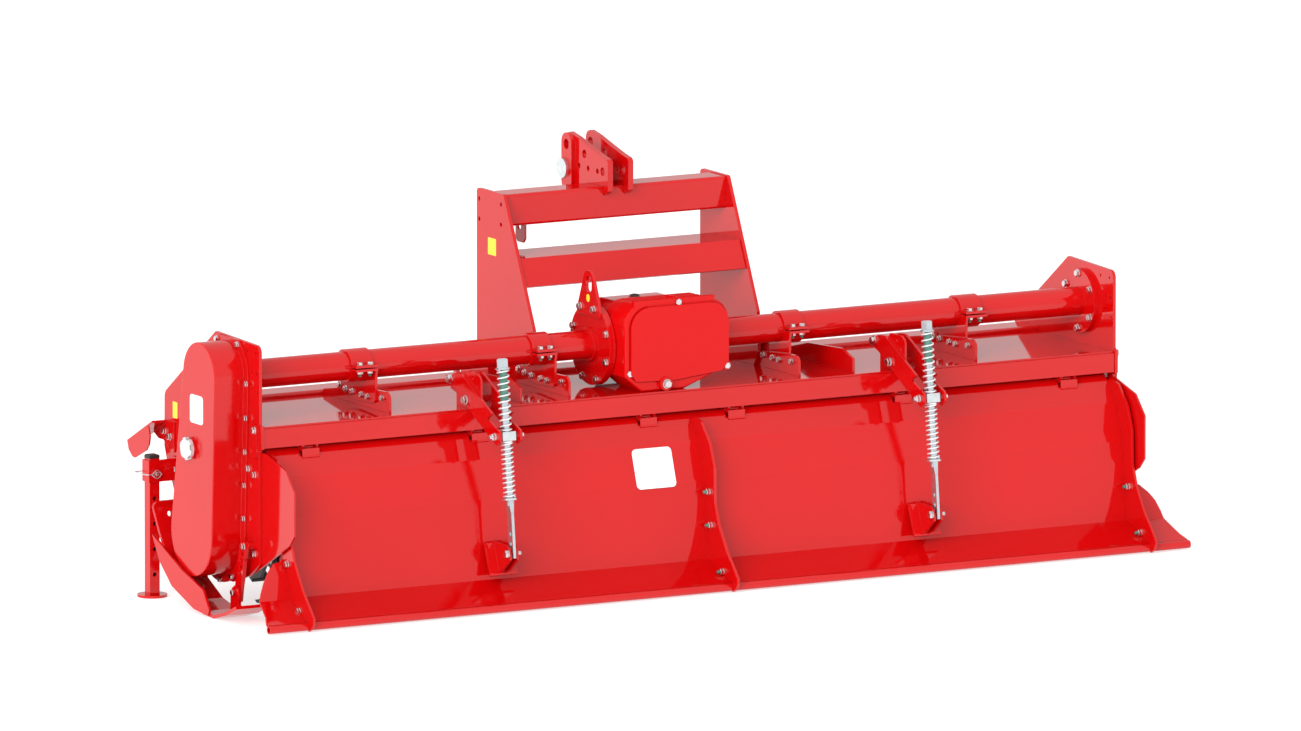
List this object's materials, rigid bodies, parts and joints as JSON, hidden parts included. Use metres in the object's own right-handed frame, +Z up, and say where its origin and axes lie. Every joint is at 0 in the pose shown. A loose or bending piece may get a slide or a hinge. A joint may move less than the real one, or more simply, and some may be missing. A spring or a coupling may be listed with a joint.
{
  "type": "rotary tiller",
  "caption": "Three-point mounted rotary tiller with a gear-driven bladed rotor under a hood, a sprung rear gate, end skids and folding-up parking stands.",
  "frame": {"origin": "on the floor, below the middle of the machine's box", "axes": "+Z up, +Y forward to the tractor, +X to the right seen from behind"},
  "size_m": [3.2795, 1.056, 1.304],
  "materials": {
    "red_paint": "gloss red enamel",
    "zinc": "bright zinc plate",
    "white_label": "plain white film",
    "yellow_label": "plain yellow film",
    "black_steel": "black painted forged steel"
  },
  "bodies": {
    "frame": {"arm_brackets": "red_paint", "clamp_brackets": "red_paint", "clamp_caps": "red_paint", "cross_tubes": "red_paint", "deflectors": "red_paint", "drive_case": "red_paint", "gearbox_cover": "red_paint", "gearbox_housing": "red_paint", "hinge_lugs": "red_paint", "hood_beams": "red_paint", "hood_deck": "red_paint", "hood_uprights": "red_paint", "inspection_cap": "zinc", "lifting_eye": "red_paint", "lower_hitch_lugs": "red_paint", "right_bearing": "red_paint", "side_plates": "red_paint", "side_shields": "red_paint", "skid_struts": "red_paint", "skids": "red_paint", "spring_arms": "red_paint", "stand_brackets": "red_paint", "top_link_ears": "red_paint", "top_link_pin": "zinc", "tower_bars": "red_paint", "tower_plates": "red_paint"},
    "rotor": {"rotor_shaft": "red_paint", "rotor_blades": "black_steel"},
    "input_shaft": {"input_shaft": "zinc"},
    "tailgate": {"tailgate_sheet": "red_paint", "tailgate_ribs": "red_paint", "tailgate_wings": "red_paint", "tailgate_pipe": "red_paint", "gate_knuckles": "red_paint", "spring_clevises": "red_paint"},
    "stand_left": {"parking_leg_left": "red_paint"},
    "spring_block_left": {"spring_block_left": "red_paint", "upper_spring_left": "zinc", "lower_spring_left": "zinc"},
    "spring_rod_left": {"spring_rod_left": "zinc"},
    "stand_right": {"parking_leg_right": "red_paint"},
    "spring_block_right": {"spring_block_right": "red_paint", "upper_spring_right": "zinc", "lower_spring_right": "zinc"},
    "spring_rod_right": {"spring_rod_right": "zinc"}
  },
  "joints": [
    {"name": "rotor_spin", "type": "hinge", "parent": "frame", "child": "rotor", "pos_m": [0, 0.014, 0.229], "axis": [1, 0, 0], "continuous": true},
    {"name": "input_spin", "type": "hinge", "parent": "frame", "child": "input_shaft", "pos_m": [0, 0.174, 0.7], "axis": [0, 1, 0], "continuous": true},
    {"name": "tailgate_hinge", "type": "hinge", "parent": "frame", "child": "tailgate", "pos_m": [0, -0.212, 0.519], "axis": [-1, 0, 0], "range_deg": [0, 20]},
    {"name": "spring_pivot_left", "type": "hinge", "parent": "frame", "child": "spring_block_left", "pos_m": [-0.746, -0.404, 0.533], "axis": [-1, 0, 0], "range_deg": [0, 22.78]},
    {"name": "spring_slide_left", "type": "slide", "parent": "spring_block_left", "child": "spring_rod_left", "axis": [0, 0.108, 0.9942], "range_m": [0, 0.0673], "deforming": ["lower_spring_left"]},
    {"name": "stand_slide_left", "type": "slide", "parent": "frame", "child": "stand_left", "axis": [0, 0, 1], "range_m": [0, 0.315]},
    {"name": "spring_pivot_right", "type": "hinge", "parent": "frame", "child": "spring_block_right", "pos_m": [0.746, -0.404, 0.533], "axis": [-1, 0, 0], "range_deg": [0, 22.78]},
    {"name": "spring_slide_right", "type": "slide", "parent": "spring_block_right", "child": "spring_rod_right", "axis": [0, 0.108, 0.9942], "range_m": [0, 0.0673], "deforming": ["lower_spring_right"]},
    {"name": "stand_slide_right", "type": "slide", "parent": "frame", "child": "stand_right", "axis": [0, 0, 1], "range_m": [0, 0.315]}
  ],
  "couplings": [
    {"joint": "input_spin", "follows": "rotor_spin", "ratio": 2.45},
    {"joint": "spring_pivot_left", "follows": "tailgate_hinge", "ratio": 1.114},
    {"joint": "spring_slide_left", "follows": "tailgate_hinge", "m_per_rad": 0.19},
    {"joint": "spring_pivot_right", "follows": "tailgate_hinge", "ratio": 1.114},
    {"joint": "spring_slide_right", "follows": "tailgate_hinge", "m_per_rad": 0.19}
  ]
}
